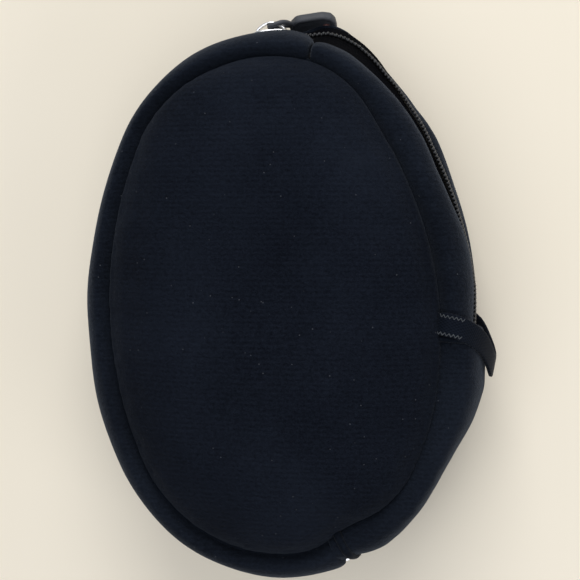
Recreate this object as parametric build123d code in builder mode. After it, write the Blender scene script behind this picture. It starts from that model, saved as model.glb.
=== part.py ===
"""Zipped headphone carrying case: an oval clamshell of two padded halves, lying on its back panel.

Row frame, in millimetres: +Z up, +Y along the oval's long axis, origin at the centre of the back panel's flat.
The wall's section is drawn as (rho, dz): rho is the distance outward from the base oval and dz the height above the
parting plane. Places round the oval are given by the direction of its normal, in degrees counterclockwise from +X.
"""

import os
from math import atan2, cos, degrees, hypot, radians, sin, sqrt

from build123d import *

# ---- driving dimensions ----
half_length = 94.5  # base oval, along Y
half_width = 67.5  # base oval, along X
end_radius = 60.0  # the oval's two end arcs
thickness = 64.0  # back flat to front crown
parting = thickness / 2  # height of the zip's plane

seam_rho = -13.0  # where a panel meets the side wall
wall_thickness = 3.0  # neoprene laminate of the side wall
cover_thickness = 2.0  # neoprene face of a panel
board_thickness = 2.5  # moulded foam board inside a panel
lining_thickness = 0.8
layer_gap = 0.1

spine_start, spine_end = 298.2, 352.3  # the hinge side, lower right
zip_start, zip_end = -5.6, 294.6  # the zip, counterclockwise
top_joint = 76.6  # where the two front wall strips are joined
slider_angle = 94.0  # where the slider is parked

# ---- the oval, as four tangent arcs ----
end_centre = half_length - end_radius
bulge = half_width - end_radius
side_centre = (end_centre**2 - bulge**2) / (2 * bulge)
side_radius = half_width + side_centre
blend_angle = degrees(atan2(end_centre, side_centre))

oval_arcs = [  # centre x, centre y, radius, first and last normal direction
    (-side_centre, 0, side_radius, -blend_angle, blend_angle),
    (0, end_centre, end_radius, blend_angle, 180 - blend_angle),
    (side_centre, 0, side_radius, 180 - blend_angle, 180 + blend_angle),
    (0, -end_centre, end_radius, 180 + blend_angle, 360 - blend_angle),
]


def arcs_between(first, last):
    """The stretches of the oval's arcs from one normal direction to another, counterclockwise."""
    for turn in (-360, 0, 360):
        for x, y, radius, start, end in oval_arcs:
            low = max(first, start + turn)
            high = min(last, end + turn)
            if high - low > 1e-6:
                yield x, y, radius, low, high


def radial_plane(x, y, angle):
    """The upright plane through an arc's centre: its x runs outward and its y runs up."""
    a = radians(angle)
    return Plane(
        origin=(x, y, parting), x_dir=(cos(a), sin(a), 0), z_dir=(sin(a), -cos(a), 0)
    )


def oval_point(angle, rho=0.0):
    """The point at that normal direction, rho outward of the base oval."""
    x, y, radius, _, _ = next(arcs_between(angle, angle + 0.001))
    reach = radius + rho
    return x + reach * cos(radians(angle)), y + reach * sin(radians(angle))


def wall_ring(section, first, last, flip=1):
    """Adds a strip of side wall: the section, a function of an arc's radius and of up or down, carried round."""
    for x, y, radius, low, high in arcs_between(first, last):
        with BuildSketch(radial_plane(x, y, low)) as profile:
            with BuildLine():
                section(radius, flip)
            make_face()
        revolve(profile.sketch, Axis((x, y, 0), (0, 0, 1)), high - low)


def oval_line(rho):
    """The base oval, moved by rho, as four arcs of a BuildLine."""
    for x, y, radius, low, high in oval_arcs:
        CenterArc((x, y), radius + rho, low, high - low)


def on_circle(centre, radius, angle):
    """The point of a circle at that angle in degrees."""
    return (
        centre[0] + radius * cos(radians(angle)),
        centre[1] + radius * sin(radians(angle)),
    )


def arc_band(radius, flip, centre, outer, inner, low, high):
    """A closed band between two concentric arcs of the section."""

    def at(reach, angle):
        rho, dz = on_circle(centre, reach, angle)
        return radius + rho, flip * dz

    middle = (low + high) / 2
    ThreePointArc(at(outer, low), at(outer, middle), at(outer, high))
    Line(at(outer, high), at(inner, high))
    ThreePointArc(at(inner, high), at(inner, middle), at(inner, low))
    Line(at(inner, low), at(outer, low))


# ---- section of the padded side wall ----
wall_centre = (-11.2, 9.37)  # centre of the rounded shoulder
wall_reach = 11.28
wall_low, wall_high = -7.0, 99.2
lip_dz = 6.0  # where the wall's folded lip ends above the zip
lip_rho = -0.9


def gusset_section(radius, flip):
    """The padded wall strip: a rounded shoulder from the seam to the lip above the zip."""
    inner_reach = wall_reach - wall_thickness

    def at(rho, dz):
        return radius + rho, flip * dz

    shoulder = (wall_low + wall_high) / 2
    seam_out = at(*on_circle(wall_centre, wall_reach, wall_high))
    seam_in = at(*on_circle(wall_centre, inner_reach, wall_high))
    side_out = at(*on_circle(wall_centre, wall_reach, wall_low))
    side_in = at(*on_circle(wall_centre, inner_reach, wall_low))
    lip_out = at(lip_rho, lip_dz)
    lip_in = at(lip_rho - wall_thickness, lip_dz)
    ThreePointArc(
        seam_out, at(*on_circle(wall_centre, wall_reach, shoulder)), side_out
    )
    Line(side_out, lip_out)
    Line(lip_out, lip_in)
    Line(lip_in, side_in)
    ThreePointArc(side_in, at(*on_circle(wall_centre, inner_reach, shoulder)), seam_in)
    Line(seam_in, seam_out)


wall_lining_reach = 5.8
wall_lining_dz = 4.4  # lower edge of the wall's lining


def wall_lining_section(radius, flip):
    """The thin cloth that covers the padded wall and the zip tape on the inside."""
    inner_reach = wall_lining_reach - lining_thickness
    top_angle = 85.0

    def at(rho, dz):
        return radius + rho, flip * dz

    middle = top_angle / 2
    ThreePointArc(
        at(*on_circle(wall_centre, wall_lining_reach, top_angle)),
        at(*on_circle(wall_centre, wall_lining_reach, middle)),
        at(*on_circle(wall_centre, wall_lining_reach, 0)),
    )
    Line(
        at(*on_circle(wall_centre, wall_lining_reach, 0)),
        at(wall_centre[0] + wall_lining_reach, wall_lining_dz),
    )
    Line(
        at(wall_centre[0] + wall_lining_reach, wall_lining_dz),
        at(wall_centre[0] + inner_reach, wall_lining_dz),
    )
    Line(
        at(wall_centre[0] + inner_reach, wall_lining_dz),
        at(*on_circle(wall_centre, inner_reach, 0)),
    )
    ThreePointArc(
        at(*on_circle(wall_centre, inner_reach, 0)),
        at(*on_circle(wall_centre, inner_reach, middle)),
        at(*on_circle(wall_centre, inner_reach, top_angle)),
    )
    Line(
        at(*on_circle(wall_centre, inner_reach, top_angle)),
        at(*on_circle(wall_centre, wall_lining_reach, top_angle)),
    )


# ---- section of the seam's inside binding ----
binding_rho = (-15.2, -12.9)
binding_dz = (12.3, 17.3)


def binding_section(radius, flip):
    """The folded tape that binds the panel's and the wall's edges inside."""
    Polyline(
        (radius + binding_rho[0], flip * binding_dz[0]),
        (radius + binding_rho[1], flip * binding_dz[0]),
        (radius + binding_rho[1], flip * binding_dz[1]),
        (radius + binding_rho[0], flip * binding_dz[1]),
        close=True,
    )


# ---- section of the zip ----
tape_rho = (-2.05, -1.55)  # tape beside the teeth, inner and outer face
tape_hidden_rho = (-5.1, -4.6)  # tape behind the wall's lip
tape_edge_dz = 0.9
tape_bend_dz = 4.5
tape_top_dz = 14.0
coil_rho = (-1.5, -0.05)
coil_dz = (0.7, 2.9)


def tape_section(radius, flip):
    """One zip tape: upright beside the teeth, then back behind the wall's lip."""
    slope = 0.45  # extra height of the outer face at each bend
    Polyline(
        (radius + tape_rho[0], flip * tape_edge_dz),
        (radius + tape_rho[1], flip * tape_edge_dz),
        (radius + tape_rho[1], flip * (tape_bend_dz + slope / 2)),
        (radius + tape_hidden_rho[1], flip * (tape_bend_dz + 2.75 * slope)),
        (radius + tape_hidden_rho[1], flip * tape_top_dz),
        (radius + tape_hidden_rho[0], flip * tape_top_dz),
        (radius + tape_hidden_rho[0], flip * (tape_bend_dz + 1.75 * slope)),
        (radius + tape_rho[0], flip * (tape_bend_dz - slope / 2)),
        close=True,
    )


def coil_section(radius, flip):
    """One row of coil teeth, without the part that interlocks, so that the slider's post can pass."""
    Polyline(
        (radius + coil_rho[0], flip * coil_dz[0]),
        (radius + coil_rho[1], flip * coil_dz[0]),
        (radius + coil_rho[1], flip * coil_dz[1]),
        (radius + coil_rho[0], flip * coil_dz[1]),
        close=True,
    )


# ---- section of the domed panels ----
crown_rho = -45.0  # inside this line a panel is flat
crown_radius = 70.0  # gentle dome
edge_radius = 10.0  # pillow edge
edge_rho = -20.4  # where the dome turns into the pillow edge
crown_slope = degrees(atan2(edge_rho - crown_rho, sqrt(crown_radius**2 - (edge_rho - crown_rho) ** 2)))
edge_centre = (
    edge_rho - edge_radius * sin(radians(crown_slope)),
    parting - crown_radius + (crown_radius - edge_radius) * cos(radians(crown_slope)),
)


def dome_section(depth, layer):
    """The section of one layer of a panel whose outer face lies depth under the panel's face."""

    def section(radius, flip):
        crown_middle = (crown_rho, parting - crown_radius)

        def dome(under, angle):
            rho, dz = on_circle(crown_middle, crown_radius - under, angle)
            return radius + rho, flip * dz

        def edge(under, angle):
            rho, dz = on_circle(edge_centre, edge_radius - under, angle)
            return radius + rho, flip * dz

        turn = 90 - crown_slope
        over, under = depth, depth + layer
        ThreePointArc(dome(over, 90), dome(over, (90 + turn) / 2), dome(over, turn))
        ThreePointArc(edge(over, turn), edge(over, turn / 2), edge(over, 0))
        Line(edge(over, 0), edge(under, 0))
        ThreePointArc(edge(under, 0), edge(under, turn / 2), edge(under, turn))
        ThreePointArc(dome(under, turn), dome(under, (90 + turn) / 2), dome(under, 90))
        Line(dome(under, 90), dome(over, 90))

    return section


def domed_layer(depth, layer, flip):
    """Adds one layer of a panel: its dome and pillow edge round a flat crown."""
    wall_ring(dome_section(depth, layer), 0, 360, flip)
    with BuildSketch(Plane.XY.offset(parting + flip * (parting - depth))) as crown:
        with BuildLine():
            oval_line(crown_rho)
        make_face()
    extrude(crown.sketch, amount=-flip * layer)


board_depth = cover_thickness + layer_gap
lining_depth = board_depth + board_thickness + layer_gap

# ---- front and back halves ----
with BuildPart() as front_panel_cover:
    domed_layer(0, cover_thickness, 1)

with BuildPart() as front_panel_board:
    domed_layer(board_depth, board_thickness, 1)

with BuildPart() as front_panel_lining:
    domed_layer(lining_depth, lining_thickness, 1)

with BuildPart() as back_panel_cover:
    domed_layer(0, cover_thickness, -1)

with BuildPart() as back_panel_board:
    domed_layer(board_depth, board_thickness, -1)

with BuildPart() as back_panel_lining:
    domed_layer(lining_depth, lining_thickness, -1)

with BuildPart() as front_wall_right:
    wall_ring(gusset_section, zip_start, top_joint - 0.1)

with BuildPart() as front_wall_left:
    wall_ring(gusset_section, top_joint + 0.1, zip_end)

with BuildPart() as back_wall:
    wall_ring(gusset_section, zip_start, zip_end, -1)

with BuildPart() as front_wall_lining:
    wall_ring(wall_lining_section, zip_start, zip_end)

with BuildPart() as back_wall_lining:
    wall_ring(wall_lining_section, zip_start, zip_end, -1)

with BuildPart() as front_seam_binding:
    wall_ring(binding_section, 0, 360)

with BuildPart() as back_seam_binding:
    wall_ring(binding_section, 0, 360, -1)

# ---- zip ----
stop_length = 1.6  # degrees of arc kept free for each end stop

with BuildPart() as front_zip_tape:
    wall_ring(tape_section, zip_start, zip_end)

with BuildPart() as back_zip_tape:
    wall_ring(tape_section, zip_start, zip_end, -1)

with BuildPart() as front_zip_coil:
    wall_ring(coil_section, zip_start + stop_length, zip_end - 2 * stop_length)

with BuildPart() as back_zip_coil:
    wall_ring(coil_section, zip_start + stop_length, zip_end - 2 * stop_length, -1)


def stop_section(radius, flip):
    """A pressed metal stop across both rows of teeth."""
    Polyline(
        (radius - 1.1, -2.2),
        (radius + 0.2, -2.2),
        (radius + 0.2, 2.2),
        (radius - 1.1, 2.2),
        close=True,
    )


with BuildPart() as zip_end_stops:
    wall_ring(stop_section, zip_start + 0.5, zip_start + 1.2)
    wall_ring(stop_section, zip_end - 2.4, zip_end - 0.9)

# ---- spine: the cloth hinge on the lower right ----
spine_out = 3.0  # how far the closed spine bulges past the base oval
spine_seam_dz = 20.4
spine_reach = (spine_seam_dz**2 + (spine_out - seam_rho) ** 2) / (2 * (spine_out - seam_rho))
spine_centre = (spine_out - spine_reach, 0)
spine_angle = degrees(atan2(spine_seam_dz, seam_rho - spine_centre[0]))


def spine_section(radius, flip):
    """The full-height padded panel of the hinge side."""
    inner = spine_reach - wall_thickness
    arc_band(radius, 1, spine_centre, spine_reach, inner, -spine_angle, spine_angle)


def spine_lining_section(radius, flip):
    """The cloth inside the spine."""
    outer = spine_reach - wall_thickness - 1.1
    inner = outer - lining_thickness
    arc_band(radius, 1, spine_centre, outer, inner, -55, 55)


def spine_binding_section(radius, flip):
    """A folded tape over the spine's cut end, slightly proud of the wall."""
    inner = spine_reach - wall_thickness
    arc_band(radius, 1, spine_centre, spine_reach + 0.8, inner, -spine_angle, spine_angle)


with BuildPart() as spine_panel:
    wall_ring(spine_section, spine_start, spine_end)

with BuildPart() as spine_lining:
    wall_ring(spine_lining_section, spine_start, spine_end)

with BuildPart() as spine_end_binding_bottom:
    wall_ring(spine_binding_section, zip_end + 0.3, spine_start - 0.2)

with BuildPart() as spine_end_binding_side:
    wall_ring(spine_binding_section, spine_end + 0.2, 360 + zip_start - 0.3)

# ---- carry loop: an elastic strap from seam to seam over the spine's upper end ----
strap_width = 8.0
strap_thickness = 1.4
strap_angle = 353.8  # where the strap crosses the base oval
strap_heading = -37.0  # direction that the strap runs in, seen from above
strap_out = 9.0
strap_seam = (-13.5, 23.5)  # its sewn end, before and above the crossing

strap_reach = (strap_seam[1] ** 2 + (strap_out - strap_seam[0]) ** 2) / (2 * (strap_out - strap_seam[0]))
strap_centre = (strap_out - strap_reach, 0)
strap_sweep = degrees(atan2(strap_seam[1], strap_seam[0] - strap_centre[0]))
strap_x, strap_y = oval_point(strap_angle)
strap_plane = Plane(
    origin=(strap_x, strap_y, parting),
    x_dir=(cos(radians(strap_heading)), sin(radians(strap_heading)), 0),
    z_dir=(sin(radians(strap_heading)), -cos(radians(strap_heading)), 0),
)

with BuildPart() as carry_strap:
    with BuildSketch(strap_plane):
        with BuildLine():
            arc_band(
                0,
                1,
                strap_centre,
                strap_reach,
                strap_reach - strap_thickness,
                -strap_sweep,
                strap_sweep,
            )
        make_face()
    extrude(amount=strap_width / 2, both=True)

tack_height = 0.5
tack_width = 1.1
tack_sweep = (3.0, 17.0)  # degrees of the strap's arc that a row of stitching takes, from its sewn end


def strap_tacks(side):
    """Adds the two rows of stitching that run along the edges of the strap's sewn end."""
    with BuildSketch(strap_plane) as row_section:
        with BuildLine():
            arc_band(
                0,
                1,
                strap_centre,
                strap_reach + tack_height,
                strap_reach + 0.02,
                side * (strap_sweep - tack_sweep[1]),
                side * (strap_sweep - tack_sweep[0]),
            )
        make_face()
    edge = strap_width / 2 - 0.6
    for low in (-edge, edge - tack_width):
        extrude(moved_out(row_section.sketch, low), amount=tack_width, dir=strap_plane.z_dir)


def moved_out(sketch, distance):
    """The sketch, moved along the strap's width."""
    return sketch.moved(Location(strap_plane.z_dir * distance))


with BuildPart() as strap_tacks_front:
    strap_tacks(1)

with BuildPart() as strap_tacks_back:
    strap_tacks(-1)

# ---- slider, curved to the end arc that it runs on ----
slider_sweep = 11.6  # degrees of the end arc
plate_dz = 4.2
plate_out = (0.3, 1.5)  # rho of the outer plate's two faces
plate_in = (-3.6, -2.4)
flange_dz = 3.3
flange_rho = -1.2
post_dz = 0.45
post_sweep = 3.0


def slider_piece(points, sweep, shift=0.0):
    """Adds a polygon of (rho, dz) points, carried along the end arc round the slider's place."""
    start = slider_angle + shift - sweep / 2
    with BuildSketch(radial_plane(0, end_centre, start)) as profile:
        with BuildLine():
            Polyline(*[(end_radius + rho, dz) for rho, dz in points], close=True)
        make_face()
    revolve(profile.sketch, Axis((0, end_centre, 0), (0, 0, 1)), sweep)


with BuildPart() as slider_body:
    slider_piece(
        [
            (plate_out[0], -flange_dz),
            (flange_rho, -flange_dz),
            (flange_rho, -plate_dz),
            (plate_out[1], -plate_dz),
            (plate_out[1], plate_dz),
            (plate_out[0], plate_dz),
        ],
        slider_sweep,
    )
    slider_piece(
        [
            (plate_in[0], -plate_dz),
            (plate_in[1], -plate_dz),
            (plate_in[1], plate_dz),
            (plate_in[0], plate_dz),
        ],
        slider_sweep,
    )
    slider_piece(
        [
            (plate_in[1], -post_dz),
            (plate_out[0], -post_dz),
            (plate_out[0], post_dz),
            (plate_in[1], post_dz),
        ],
        post_sweep,
        shift=(slider_sweep - post_sweep) / 2,
    )

# a frame at the slider: x along the zip towards +X, y outward, z up
slider_origin = oval_point(slider_angle)
slider_frame = Plane(
    origin=(slider_origin[0], slider_origin[1], parting),
    x_dir=(sin(radians(slider_angle)), -cos(radians(slider_angle)), 0),
    z_dir=(0, 0, 1),
)

bridge_half = 5.6
bridge_rise = 4.9  # outward reach of the bridge's crown
bridge_strip = 1.3
bridge_width = 2.4

with BuildPart() as slider_bridge:
    with BuildSketch(slider_frame.offset(-bridge_width / 2)):
        with BuildLine():
            foot = plate_out[1] + 0.05
            drop = end_radius - sqrt(end_radius**2 - bridge_half**2)
            ThreePointArc((-bridge_half, foot - drop), (0, bridge_rise), (bridge_half, foot - drop))
            Line((bridge_half, foot - drop), (bridge_half - bridge_strip, foot - drop + 0.12))
            ThreePointArc(
                (bridge_half - bridge_strip, foot - drop + 0.12),
                (0, bridge_rise - bridge_strip),
                (bridge_strip - bridge_half, foot - drop + 0.12),
            )
            Line((bridge_strip - bridge_half, foot - drop + 0.12), (-bridge_half, foot - drop))
        make_face()
    extrude(amount=bridge_width)

# ---- pull: a rubber grip on a cord eye that hangs on the bridge ----
eye_x, eye_y = 0.0, 2.62  # the eye's bar, in the slider's frame
bar_radius = 0.75
eye_dz = 2.3  # height of the eye's two arms
arm_end = (4.9, 3.3)  # where the arms bend down to the grip, in the slider's frame
neck = (6.7, 3.5)  # where they turn into it
neck_dz = (-4.8, -6.9)  # height of each arm there
cord_end = (9.2, 3.2)
cord_end_dz = (-7.2, -8.5)
grip_length, grip_width, grip_depth = 16.4, 11.2, 3.2
grip_centre = (13.9, 3.15, -8.4)
grip_heading = 3.0  # outward swing of the grip's length, in degrees
grip_tilt = 62.0  # turn of its face from level


def slider_point(x, y, dz):
    """A point given in the slider's frame, as a row-frame vector."""
    return slider_frame.from_local_coords(Vector(x, y, dz))


grip_x = Vector(cos(radians(grip_heading)), sin(radians(grip_heading)), 0)
grip_normal = Vector(
    sin(radians(grip_heading)) * sin(radians(grip_tilt)),
    -cos(radians(grip_heading)) * sin(radians(grip_tilt)),
    cos(radians(grip_tilt)),
)


def in_row(direction):
    """A direction given in the slider's frame, turned into the row frame."""
    return slider_frame.x_dir * direction.X + slider_frame.y_dir * direction.Y + Vector(0, 0, direction.Z)


grip_plane = Plane(
    origin=slider_point(*grip_centre), x_dir=in_row(grip_x), z_dir=in_row(grip_normal)
)

with BuildPart() as pull_grip:
    with BuildSketch(grip_plane):
        RectangleRounded(grip_length, grip_width, 4.6)
    extrude(amount=grip_depth / 2, both=True)
    fillet(pull_grip.edges().group_by(Axis(grip_plane.origin, grip_plane.z_dir))[-1], 0.9)
    fillet(pull_grip.edges().group_by(Axis(grip_plane.origin, grip_plane.z_dir))[0], 0.9)

badge_radius = 1.6
badge_offset = 4.6  # along the grip from its centre

with BuildPart() as pull_badge:
    with BuildSketch(grip_plane.offset(grip_depth / 2 + 0.02)):
        with Locations((badge_offset, 0)):
            Circle(badge_radius)
    extrude(amount=0.25)

with BuildPart() as pull_cord:
    for side, arm_dz, end_dz in zip((1, -1), neck_dz, cord_end_dz):
        with BuildLine() as arm:
            FilletPolyline(
                slider_point(eye_x, eye_y, 0),
                slider_point(eye_x, eye_y, side * eye_dz),
                slider_point(*arm_end, side * eye_dz),
                slider_point(*neck, arm_dz),
                slider_point(*cord_end, end_dz),
                radius=1.1,
            )
        with BuildSketch(Plane(origin=arm.line @ 0, z_dir=arm.line % 0)):
            Circle(bar_radius)
        sweep(path=arm.line)

# ---- write the parts ----
parts = {
    "front_panel_cover": front_panel_cover,
    "front_panel_board": front_panel_board,
    "front_panel_lining": front_panel_lining,
    "front_wall_left": front_wall_left,
    "front_wall_right": front_wall_right,
    "front_wall_lining": front_wall_lining,
    "front_seam_binding": front_seam_binding,
    "front_zip_tape": front_zip_tape,
    "front_zip_coil": front_zip_coil,
    "strap_tacks_front": strap_tacks_front,
    "back_panel_cover": back_panel_cover,
    "back_panel_board": back_panel_board,
    "back_panel_lining": back_panel_lining,
    "back_wall": back_wall,
    "back_wall_lining": back_wall_lining,
    "back_seam_binding": back_seam_binding,
    "back_zip_tape": back_zip_tape,
    "back_zip_coil": back_zip_coil,
    "zip_end_stops": zip_end_stops,
    "spine_panel": spine_panel,
    "spine_lining": spine_lining,
    "spine_end_binding_bottom": spine_end_binding_bottom,
    "spine_end_binding_side": spine_end_binding_side,
    "carry_strap": carry_strap,
    "strap_tacks_back": strap_tacks_back,
    "slider_body": slider_body,
    "slider_bridge": slider_bridge,
    "pull_cord": pull_cord,
    "pull_grip": pull_grip,
    "pull_badge": pull_badge,
}

os.makedirs("parts", exist_ok=True)
for name, piece in parts.items():
    piece.part.label = name
    export_step(piece.part, f"parts/{name}.step")
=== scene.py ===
"""Looks of the zipped headphone case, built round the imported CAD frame.

Shapes are worked out in millimetres and written to the meshes in metres. A place round the oval is the
direction of its normal, in degrees counterclockwise from +X. rho is the distance outward from the base oval,
and dz the height above the zip's plane, towards the front (flip 1) or the back (flip -1).
"""

import math

import bmesh
import bpy
import numpy as np
from mathutils import Matrix, Vector
from mathutils.kdtree import KDTree


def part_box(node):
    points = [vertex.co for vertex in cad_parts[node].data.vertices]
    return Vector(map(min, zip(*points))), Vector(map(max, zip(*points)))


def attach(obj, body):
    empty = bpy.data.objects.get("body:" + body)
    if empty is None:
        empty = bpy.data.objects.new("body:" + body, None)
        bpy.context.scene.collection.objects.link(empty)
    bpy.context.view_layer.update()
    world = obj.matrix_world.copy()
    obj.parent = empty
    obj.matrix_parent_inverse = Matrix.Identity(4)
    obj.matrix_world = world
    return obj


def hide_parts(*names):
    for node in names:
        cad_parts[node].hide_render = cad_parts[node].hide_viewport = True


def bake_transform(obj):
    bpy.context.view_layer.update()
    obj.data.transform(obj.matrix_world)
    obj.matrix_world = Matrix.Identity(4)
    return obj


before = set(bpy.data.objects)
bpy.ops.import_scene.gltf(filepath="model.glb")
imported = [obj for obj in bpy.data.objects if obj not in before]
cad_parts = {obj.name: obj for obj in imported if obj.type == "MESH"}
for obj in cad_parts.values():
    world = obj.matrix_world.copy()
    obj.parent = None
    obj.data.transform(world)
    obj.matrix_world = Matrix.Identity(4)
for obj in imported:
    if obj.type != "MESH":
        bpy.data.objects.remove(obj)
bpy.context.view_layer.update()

MM = 0.001  # metres in a millimetre

# ---------------------------------------------------------------- the base oval, from the CAD's zip
coil_low, coil_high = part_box("front_zip_coil")
COIL_INSET = 0.05  # how far inside the base oval the CAD's coil lies
COIL_HEIGHT = 0.7  # how far over the zip's plane the CAD's front coil starts
HALF_WIDTH = coil_high.x / MM + COIL_INSET
HALF_LENGTH = coil_high.y / MM + COIL_INSET
PARTING = coil_low.z / MM - COIL_HEIGHT
END_RADIUS = 60.0
END_CENTRE = HALF_LENGTH - END_RADIUS
BULGE = HALF_WIDTH - END_RADIUS
SIDE_CENTRE = (END_CENTRE**2 - BULGE**2) / (2 * BULGE)
SIDE_RADIUS = HALF_WIDTH + SIDE_CENTRE
BLEND_ANGLE = math.degrees(math.atan2(END_CENTRE, SIDE_CENTRE))
ARCS = [
    (-SIDE_CENTRE, 0.0, SIDE_RADIUS, -BLEND_ANGLE, BLEND_ANGLE),
    (0.0, END_CENTRE, END_RADIUS, BLEND_ANGLE, 180 - BLEND_ANGLE),
    (SIDE_CENTRE, 0.0, SIDE_RADIUS, 180 - BLEND_ANGLE, 180 + BLEND_ANGLE),
    (0.0, -END_CENTRE, END_RADIUS, 180 + BLEND_ANGLE, 360 - BLEND_ANGLE),
]
ZIP_START, ZIP_END = -5.6, 294.6
SPINE_START, SPINE_END = 294.7, 354.3
TOP_JOINT = 76.6  # where the front wall's two lengths meet
SLIDER_ANGLE = 94.0
LIP_HEIGHT = 5.4  # of the walls' lips over the zip's plane


def oval(angles, rho):
    """x and y of the points at those normal directions, rho outward of the base oval."""
    a = np.asarray(angles, float)
    rho = np.broadcast_to(np.asarray(rho, float), np.broadcast(a, rho).shape)
    turned = (a + BLEND_ANGLE) % 360 - BLEND_ANGLE
    x, y = np.zeros(rho.shape), np.zeros(rho.shape)
    for cx, cy, radius, low, high in ARCS:
        inside = np.broadcast_to((turned >= low - 1e-9) & (turned < high), rho.shape)
        reach = radius + rho
        x = np.where(inside, cx + reach * np.cos(np.radians(a)), x)
        y = np.where(inside, cy + reach * np.sin(np.radians(a)), y)
    return x, y


def stations(first, last, step):
    """Normal directions from first to last, about step millimetres apart along the oval."""
    fine = np.linspace(first, last, 4000)
    x, y = oval(fine, 0.0)
    length = np.concatenate([[0], np.cumsum(np.hypot(np.diff(x), np.diff(y)))])
    count = max(2, int(round(length[-1] / step)) + 1)
    return np.interp(np.linspace(0, length[-1], count), length, fine), length[-1]


def arc_length(angles):
    """Distance along the base oval from the +X direction to those normal directions."""
    fine = np.linspace(-90, 450, 8000)
    x, y = oval(fine, 0.0)
    length = np.concatenate([[0], np.cumsum(np.hypot(np.diff(x), np.diff(y)))])
    length -= np.interp(0, fine, length)
    return np.interp(np.asarray(angles, float), fine, length)


def bump(x, middle, width):
    """A smooth hump, 1 at the middle and near 0 past its width."""
    return np.exp(-(((x - middle) / width) ** 2))


def waves(seed, count, low, high):
    """A smooth random function of one distance in millimetres, about -1 to 1, of wavelengths low to high."""
    r = np.random.default_rng(seed)
    lengths = np.exp(r.uniform(np.log(low), np.log(high), count))
    phases = r.uniform(0, 2 * np.pi, count)
    weights = r.uniform(0.5, 1.0, count)
    weights /= np.sqrt((weights**2).sum() / 2) * 1.6

    def value(s):
        s = np.asarray(s, float)[..., None]
        return (np.sin(2 * np.pi * s / lengths + phases) * weights).sum(-1)

    return value


def near_x(angle):
    """The same direction, from -180 to 180."""
    return (np.asarray(angle, float) + 180) % 360 - 180


def side_shift(angle):
    """The whole wall stands out a little at the lower left."""
    return 1.9 * bump(np.asarray(angle, float) % 360, 193, 17)


def front_shift(angle):
    """The front wall has slumped inward at the upper right, which bares the zip there."""
    places = [3, 8, 11, 15, 20, 29, 38, 46, 56, 65, 72, 76.6, 80, 86]
    moves = [-0.6, -1.4, -2.2, -4.4, -6.8, -7.8, -7.6, -6.9, -5.6, -3.9, -3.6, -3.2, -1.2, 0]
    return np.interp(near_x(angle), places, moves) * (near_x(angle) > -60) + side_shift(angle)


def back_shift(angle):
    """The back wall's lip follows the zip: out just right of the top joint, and in below that."""
    places = [-3, 6, 14, 20, 28, 37, 48, 55, 61, 66, 70, 74, 78, 84, 90]
    moves = [0, -0.9, -1.5, -2.1, -2.9, -3.4, -1.9, -0.2, 1.7, 3.6, 5.7, 6.6, 6.2, 2.6, 0]
    return np.interp(near_x(angle), places, moves) + side_shift(angle)


def lip_shift(angle, flip):
    """How far that half's lip has moved outward."""
    return float(front_shift(angle) if flip > 0 else back_shift(angle))


def zip_shift(angle):
    """How far the zip itself wanders from its oval."""
    places = [3, 11, 23, 38, 51, 58, 64, 70, 75, 80, 86]
    moves = [0, -1.7, -3.6, -3.4, -1.7, 0.2, 1.7, 2.5, 2.3, 0.6, 0]
    return np.interp(near_x(angle), places, moves) + side_shift(angle)


def seam_follow(rho, dz):
    """The share of the seam's shift that a point of the wall takes: all by the seam, none at the side."""
    return np.clip((-1.0 - rho) / 10, 0, 1) * np.clip((dz - 6) / 5, 0, 1)


def slump_share(dz):
    """The share of the lip's shift that such a point takes: all of it low down, none at the seam."""
    return (1 - np.clip((dz - 6) / 14, 0, 1)) ** 0.6


# ---------------------------------------------------------------- mesh helpers
def make_object(name, verts, faces, smooth=True):
    """A mesh object from points in millimetres."""
    mesh = bpy.data.meshes.new(name)
    mesh.from_pydata((np.asarray(verts, float) * MM).tolist(), [], faces)
    mesh.validate()
    mesh.update()
    if smooth:
        mesh.polygons.foreach_set("use_smooth", [True] * len(mesh.polygons))
    made = bpy.data.objects.new(name, mesh)
    bpy.context.scene.collection.objects.link(made)
    return made


def grid_faces(rows, columns, wrap=False):
    """Quads of a grid of points whose rows are closed rings. With wrap the last row joins the first."""
    faces = []
    for i in range(rows if wrap else rows - 1):
        here, following = i * columns, (i + 1) % rows * columns
        for j in range(columns):
            after = (j + 1) % columns
            faces.append((here + j, here + after, following + after, following + j))
    return faces


def capped_faces(rows, columns):
    """The same quads, with a face over the first ring and one over the last."""
    last = (rows - 1) * columns
    return [*grid_faces(rows, columns), tuple(range(columns)), tuple(range(last, last + columns))]


def face_outward(made):
    """Turns a closed mesh's faces outward."""
    work = bmesh.new()
    work.from_mesh(made.data)
    bmesh.ops.recalc_face_normals(work, faces=work.faces)
    work.to_mesh(made.data)
    work.free()
    return made


def loft(name, angles, section, wrap=False):
    """A closed section of (rho, dz) points carried round the oval. section(angle) gives the points there."""
    sections = [np.asarray(section(a), float) for a in angles]
    columns = len(sections[0])
    verts = []
    for a, points in zip(angles, sections):
        x, y = oval(np.full(columns, a), points[:, 0])
        verts.append(np.column_stack([x, y, PARTING + points[:, 1]]))
    rows = len(angles)
    faces = grid_faces(rows, columns, wrap=True) if wrap else capped_faces(rows, columns)
    return face_outward(make_object(name, np.concatenate(verts), faces))


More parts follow.
